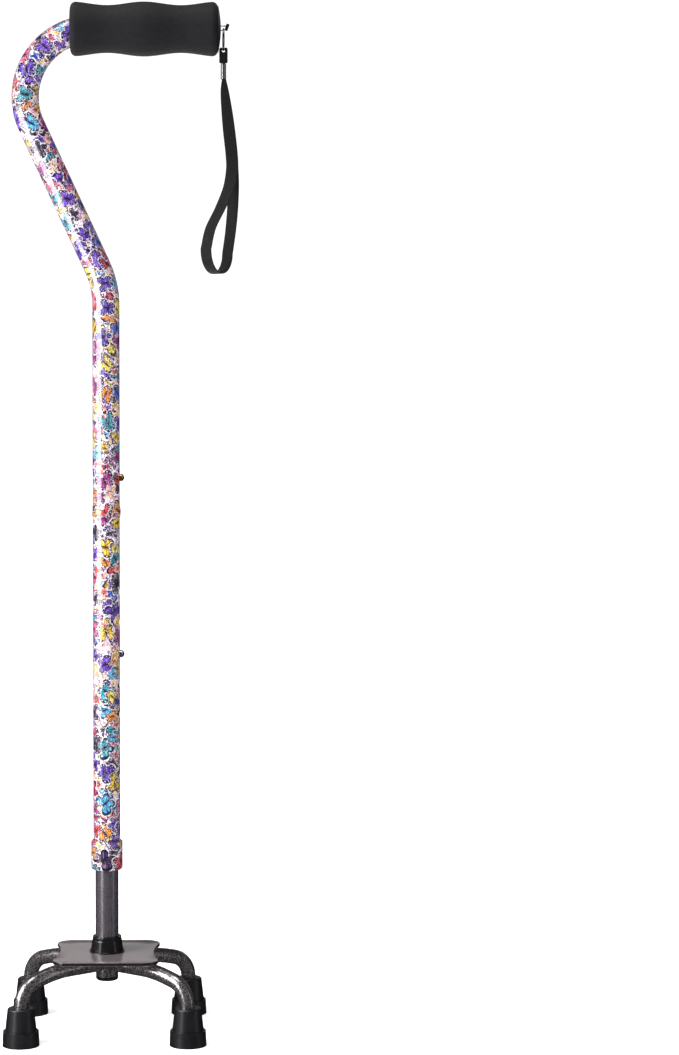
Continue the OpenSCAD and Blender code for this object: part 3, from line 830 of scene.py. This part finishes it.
# Rows of (drop below the ferrule, forward shift, half the gap between the two strands,
# direction of the gap in degrees seen from above, share of the full width), in millimetres
STRAP_ROWS = [
    (0, 0.4, 0.55, 90, 0.34), (10, 1, 0.7, 90, 0.68), (26, 2.8, 0.75, 90, 0.9),
    (42, 4.6, 0.8, 90, 1), (60, 6.6, 0.9, 90, 1), (73, 7.2, 1.6, 84, 1), (88, 6.2, 5, 68, 1),
    (105, 2.6, 10.5, 62, 1), (122, -2.2, 16.4, 60, 1), (136, -4.8, 17.8, 60, 1),
    (140, -5.4, 17.8, 60, 1),
]
STRAP_W = 10 * MM
STRAP_T = 1 * MM


def strap_stations():
    """(point, direction of the gap, width share) down one strand, round the loop and up."""
    ring_low, ring_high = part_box("strap_ring")
    ferrule_low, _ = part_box("strap_ferrule")
    ring_x = (ring_low.x + ring_high.x) / 2

    def station(row, share, rise):
        drop, shift, gap, angle, width = row
        a = math.radians(angle)
        point = Vector((
            ring_x + (shift + share * gap * math.cos(a)) * MM,
            share * gap * math.sin(a) * MM,
            ferrule_low.z + (rise - drop) * MM,
        ))
        return point, a, width

    low = STRAP_ROWS[-1]
    down = [station(row, -1, 0) for row in STRAP_ROWS]
    loop = [station(low, math.cos(math.radians(a)), low[2] * math.sin(math.radians(a)))
            for a in range(200, 341, 20)]
    up = [station(row, 1, 0) for row in reversed(STRAP_ROWS)]
    return down + loop + up


def smooth(values, i, t):
    """A value between stations i and i + 1 on a smooth curve through them all."""
    a = values[max(i - 1, 0)]
    b = values[i]
    c = values[i + 1]
    d = values[min(i + 2, len(values) - 1)]
    return 0.5 * (2 * b + (c - a) * t + (2 * a - 5 * b + 4 * c - d) * t * t
                  + (3 * b - a - 3 * c + d) * t ** 3)


def wrist_strap():
    stations = strap_stations()
    points = [s[0] for s in stations]
    angles = [s[1] for s in stations]
    widths = [s[2] for s in stations]
    line, facing, share = [], [], []
    for i in range(len(stations) - 1):
        pieces = max(2, round((points[i + 1] - points[i]).length / (1.5 * MM)))
        for k in range(pieces):
            t = k / pieces
            line.append(smooth(points, i, t))
            facing.append(smooth(angles, i, t))
            share.append(smooth(widths, i, t))
    line.append(points[-1])
    facing.append(angles[-1])
    share.append(widths[-1])
    # The web's section, from -1 to 1 each way, is a rectangle with rounded edges
    section = [(math.copysign(abs(math.cos(a)) ** 0.35, math.cos(a)),
                math.copysign(abs(math.sin(a)) ** 0.5, math.sin(a))) for a in turns(40)]
    rings, uvs_along, travelled = [], [], 0.0
    for i, point in enumerate(line):
        tangent = (line[min(i + 1, len(line) - 1)] - line[max(i - 1, 0)]).normalized()
        across = Vector((math.sin(facing[i]), -math.cos(facing[i]), 0))
        across = (across - tangent * across.dot(tangent)).normalized()
        out = tangent.cross(across)
        half = STRAP_W * share[i] / 2
        ring = []
        for x, y in section:
            ring.append(point + across * x * half + out * y * STRAP_T / 2)
        rings.append(ring)
        if i:
            travelled += (point - line[i - 1]).length
        uvs_along.append(travelled)
    edges = [x * STRAP_W / 2 for x, _ in section]
    uvs = []
    for before, after in zip(uvs_along, uvs_along[1:]):
        for left, right in zip(edges, edges[1:] + edges[:1]):
            uvs.append([(left, before), (right, before), (right, after), (left, after)])
    strap = capped("wrist_strap_webbing", rings, uvs, "weave", 60)
    dress(strap, "webbing")
    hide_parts("wrist_strap")
    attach(strap, "wrist_strap")


wrist_strap()


# ---------------------------------------------------------------- strap ring and base collar

def strap_ring():
    """The wire ring hangs turned a little about the vertical."""
    low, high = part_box("strap_ring")
    centre = (low + high) / 2
    radius = (high.z - low.z - (high.x - low.x)) / 2
    wire = 0.5 * MM
    turn = Matrix.Rotation(math.radians(3), 3, "Z")
    rings = []
    for a in turns(72):
        out = Vector((0, math.sin(a), math.cos(a)))
        ring = []
        for b in turns(16):
            ring.append(centre + turn @ (out * (radius + wire * math.cos(b))
                                         + Vector((wire * math.sin(b), 0, 0))))
        rings.append(ring)
    hoop = skin("strap_ring_hoop", rings, [radius * a for a in turns(72)])
    dress(hoop, "wire")
    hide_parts("strap_ring")
    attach(hoop, "strap_ring")


strap_ring()


def base_collar():
    """Moulded collar: eight soft flats, a thin foot and a rim with eight notches."""
    low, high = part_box("base_collar")
    foot_r = (high.x - low.x) / 2
    top_r = foot_r - 2.4 * MM
    bore = SHAFT_R + 0.05 * MM
    height = high.z - low.z
    levels = [(bore, 0, 0), (foot_r, 0, 0), (foot_r, 1.1, 0), (foot_r - 0.6 * MM, 1.4, 0.4)]
    levels += [(foot_r - 0.6 * MM - 1.4 * MM * t, 1.4 + 8.6 * t, 1) for t in (0.15, 0.5, 0.85, 1)]
    levels += [(top_r + 0.1 * MM, 10.4, 1), (top_r + 0.15 * MM, 12.4, 1), (top_r - 0.3 * MM, 13.2, 1),
               (top_r - 1 * MM, height / MM, 0.6), (bore, height / MM, 0)]
    rings = []
    for radius, rise, flats in levels:
        ring = []
        for a in turns(96):
            flat = 1 - 0.022 * flats * (1 + math.cos(8 * a)) / 2
            notch = 0.9 * MM * (rise > 11) * max(0, math.cos(8 * a + math.pi)) ** 12
            r = max(bore, radius * flat)
            ring.append(Vector((SHAFT_X + r * math.cos(a), r * math.sin(a), low.z + rise * MM - notch)))
        rings.append(ring)
    collar = skin("base_collar_moulding", rings, [r[0].z for r in rings], sharp=30)
    dress(collar, "black_plastic")
    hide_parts("base_collar")
    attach(collar, "base")


base_collar()


# ---------------------------------------------------------------- springs and elastic cord

def snap_leaf(node):
    """A leaf spring with its foot on the tube's wall, which bends as its button is pressed."""
    low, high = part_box(node)
    thickness = 0.5 * MM
    foot_x = high.x - thickness
    foot_end = low.z + 10 * MM
    head_start = high.z - 9 * MM
    rings = []
    for i in range(61):
        z = low.z + (high.z - low.z) * i / 60
        x = foot_x + (low.x - foot_x) * ease((z - foot_end) / (head_start - foot_end))
        rings.append([Vector((x, low.y, z)), Vector((x + thickness, low.y, z)),
                      Vector((x + thickness, high.y, z)), Vector((x, high.y, z))])
    leaf = capped(node + "_strip", rings)
    dress(leaf, "spring")
    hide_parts(node)
    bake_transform(leaf)


snap_leaf("upper_snap_leaf")
snap_leaf("lower_snap_leaf")


def elastic_cord():
    """Braided cord that stretches between its two anchors as the sections are pulled apart."""
    low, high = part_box("elastic_cord")
    centre = (low + high) / 2
    radius = (high.x - low.x) / 2 - 0.12 * MM
    rings = []
    for i in range(171):
        z = low.z + (high.z - low.z) * i / 170
        twist = 2 * math.pi * (z - low.z) / (9 * MM)
        ring = []
        for a in turns(32):
            plait = math.cos(8 * a + 2 * twist) * math.cos(8 * a - 2 * twist)
            r = radius + 0.1 * MM * plait
            ring.append(Vector((centre.x + r * math.cos(a), r * math.sin(a), z)))
        rings.append(ring)
    cord = capped("elastic_cord_braid", rings, sharp=180)
    dress(cord, "elastic")
    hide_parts("elastic_cord")
    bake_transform(cord)


elastic_cord()


# ---------------------------------------------------------------- legs

LEG_R = 6.1 * MM
LEG_WALL = 1.2 * MM
LEG_Z = 55 * MM
LEG_DROOP = math.radians(14)
LEG_SPLAY = math.radians(2)
LEG_SLOW_R = 100 * MM
LEG_SLOPE = 8 * MM
LEG_FAST_R = 20 * MM
LEG_END_Z = 7 * MM


def leg_steps():
    turn = math.pi / 2 - LEG_SPLAY
    fast_z = LEG_Z - LEG_SLOW_R * (1 - math.cos(LEG_DROOP)) - LEG_SLOPE * math.sin(LEG_DROOP)
    drop = (fast_z - LEG_FAST_R * (math.cos(LEG_DROOP) - math.cos(turn)) - LEG_END_Z) / math.cos(LEG_SPLAY)
    bends = (LEG_SLOW_R * math.sin(LEG_DROOP) + LEG_SLOPE * math.cos(LEG_DROOP)
             + LEG_FAST_R * (math.sin(turn) - math.sin(LEG_DROOP)) + drop * math.sin(LEG_SPLAY) / 2)
    reach = math.hypot(FOOT_REACH_X, FOOT_REACH_Y)
    return [
        (reach - bends, LEG_SLOW_R, LEG_DROOP),
        (LEG_SLOPE, LEG_FAST_R, turn - LEG_DROOP),
        (drop, 0, 0),
    ]


def leg(name, x_side, y_side):
    angle = math.atan2(y_side * FOOT_REACH_Y, x_side * FOOT_REACH_X)
    start = (hub_high.x - hub_low.x) / 2 - 0.6 * MM

    def place(x, y, z):
        return Vector((
            SHAFT_X + x * math.cos(angle) - y * math.sin(angle),
            x * math.sin(angle) + y * math.cos(angle),
            LEG_Z + z,
        ))

    path = [p for p in bent_path(leg_steps(), 2 * MM) if p[0] > start]
    outer = [ring_at(p, LEG_R, place, 48) for p in path]
    inner = [ring_at(p, LEG_R - LEG_WALL, place, 48) for p in path]
    along = [p[3] for p in path]
    tube = skin(name + "_tube", outer + inner[::-1], along + along[::-1])
    dress(tube, "hammer")
    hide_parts(name)
    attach(tube, "base")


for leg_name, (x_side, y_side) in {
    "leg_front_right": (1, -1), "leg_front_left": (1, 1),
    "leg_rear_left": (-1, 1), "leg_rear_right": (-1, -1),
}.items():
    leg(leg_name, x_side, y_side)


# ---------------------------------------------------------------- base plate

def plate_edge(half, corner, side_depth, side_half, count=10):
    """Half of the plate's outline: rounded corners joined by straight ends and hollow sides."""
    side_r = (side_half ** 2 + side_depth ** 2) / (2 * side_depth)
    points = []
    for sx, sy, start in ((1, 1, 0), (-1, 1, 90), (-1, -1, 180), (1, -1, 270)):
        cx, cy = sx * (half.x - corner), sy * (half.y - corner)
        for i in range(count + 1):
            a = math.radians(start + 90 * i / count)
            points.append(v2(cx + corner * math.cos(a), cy + corner * math.sin(a)))
        if start in (90, 270):
            for i in range(1, 24):
                y = sy * (half.y - corner) * (1 - i / 12)
                depth = 0.0
                if abs(y) < side_half:
                    depth = math.sqrt(side_r ** 2 - y ** 2) - (side_r - side_depth)
                points.append(v2(sx * (half.x - depth), y))
    return points


def base_plate():
    half = v2((plate_high.x - plate_low.x) / 2, (plate_high.y - plate_low.y) / 2)
    middle = v2((plate_high.x + plate_low.x) / 2, 0)
    edge = plate_edge(half, 12 * MM, 4 * MM, 31 * MM)
    soft = 0.7 * MM
    hole = SHAFT_R - 1.2 * MM
    # From the hole over the top, round the edge and back underneath
    rim = [(hole, plate_low.z), (hole, plate_high.z)]
    profile = [(soft * (1 - math.sin(a)), plate_high.z - soft * (1 - math.cos(a)))
               for a in (math.radians(d) for d in (0, 22.5, 45, 67.5, 90))]
    profile += [(0, plate_low.z + 0.5 * MM), (0.5 * MM, plate_low.z)]
    count = len(edge)
    rings = []
    for radius, z in rim:
        rings.append([Vector((middle.x + radius * p.normalized().x, radius * p.normalized().y, z))
                      for p in edge])
    for share in (0.35, 0.7):
        rings.append([Vector((middle.x + p.x * share, p.y * share, plate_high.z)) for p in edge])
    for inset, z in profile:
        ring = []
        for i, p in enumerate(edge):
            ahead, behind = edge[(i + 1) % count], edge[i - 1]
            normal = v2((ahead - behind).y, -(ahead - behind).x).normalized()
            q = p - normal * inset
            ring.append(Vector((middle.x + q.x, q.y, z)))
        rings.append(ring)
    for share in (0.7, 0.35):
        rings.append([Vector((middle.x + p.x * share, p.y * share, plate_low.z)) for p in edge])
    plate = skin("base_plate_pressing", rings, [0] * len(rings), sharp=35)
    dress(plate, "plate")
    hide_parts("base_plate")
    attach(plate, "base")


base_plate()


def weld_bead(name, x, length, seed):
    """A short, lumpy bead of weld along the plate's front edge, over the legs."""
    shape = random.Random(seed)
    lumps = [shape.uniform(0.75, 1.1) for _ in range(25)]
    rings = []
    for i in range(25):
        t = i / 24
        across = 0.9 * MM * math.sqrt(max(0.02, 1 - (2 * t - 1) ** 2)) * lumps[i]
        centre = Vector((SHAFT_X + x + (t - 0.5) * length, plate_low.y + 0.9 * MM, plate_low.z - 0.3 * MM))
        ring = []
        for a in turns(20):
            ring.append(centre + Vector((0, 1.2 * across * math.cos(a), across * math.sin(a))))
        rings.append(ring)
    bead = capped(name, rings)
    dress(bead, "spring")
    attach(bead, "base")


for i, (bead_x, bead_length) in enumerate(((-19, 3.5), (17, 4.5), (33, 6)), 1):
    weld_bead("weld_bead_" + str(i), bead_x * MM, bead_length * MM, i)


# ---------------------------------------------------------------- stage

def add_floor():
    """A plain pale floor that fades into the background."""
    material, graph, inputs = new_material("floor", Roughness=0.9, Specular_IOR_Level=0.0)
    inputs["Base Color"].default_value = (0.93, 0.93, 0.93, 1)
    inputs["Emission Color"].default_value = (1, 1, 1, 1)
    x, y, _ = graph.split(position(graph))
    away = graph.step(graph.length(x, y), 0.15, 0.6)
    graph.put(inputs["Emission Strength"], graph.spread(away, 0.62, 1.1))
    half = 30
    floor = add_piece("floor", [(-half, -half, 0), (half, -half, 0), (half, half, 0), (-half, half, 0)],
                      [(0, 1, 2, 3)])
    floor.data.materials.append(material)
    floor.visible_glossy = False


def add_light(name, place, size, power, aim):
    data = bpy.data.lights.new(name, "AREA")
    data.shape = "RECTANGLE"
    data.size, data.size_y = size
    data.energy = power
    light = bpy.data.objects.new(name, data)
    bpy.context.scene.collection.objects.link(light)
    light.location = place
    light.rotation_mode = "QUATERNION"
    light.rotation_quaternion = (Vector(aim) - Vector(place)).to_track_quat("-Z", "Y")


def add_world():
    """White behind the object, a dim light from all round, and a low card behind the object
    that shows in reflections only."""
    world = bpy.data.worlds.new("studio")
    world.use_nodes = True
    graph = Graph(world.node_tree)
    background = world.node_tree.nodes["Background"]
    seen = graph.node("ShaderNodeLightPath").outputs["Is Camera Ray"]
    _, behind, up = graph.split(graph.node("ShaderNodeTexCoord").outputs["Generated"])
    glossy = graph.node("ShaderNodeLightPath").outputs["Is Glossy Ray"]
    around = graph.spread(graph.step(behind, 0.6, -0.3), 0.02, 0.4)
    around = graph.times(around, graph.spread(glossy, 1, 0.2))
    card = graph.times(graph.step(up, 0.18, 0.2), graph.step(up, 0.4, 0.34))
    card = graph.times(card, graph.step(behind, 0.5, 0.7))
    card = graph.times(graph.times(card, glossy), 0.45)
    around = graph.plus(around, card)
    graph.put(background.inputs["Color"], (1, 1, 1, 1))
    graph.put(background.inputs["Strength"], graph.math("MAXIMUM", graph.times(seen, 1.1), around))
    bpy.context.scene.world = world
    bpy.context.scene.view_settings.view_transform = "Standard"


add_floor()
middle = (SHAFT_X, 0, 0.42)
add_light("key", (-1.5, -1.3, 0.8), (0.4, 2.2), 12.5, middle)
add_light("fill", (1.8, -0.7, 0.7), (0.25, 2.0), 2.4, middle)
add_light("top", (-0.3, -0.3, 2.0), (0.8, 0.8), 14, middle)
add_light("low", (-0.7, -0.35, 0.5), (0.6, 0.6), 10, (SHAFT_X, 0, 0.04))
add_world()
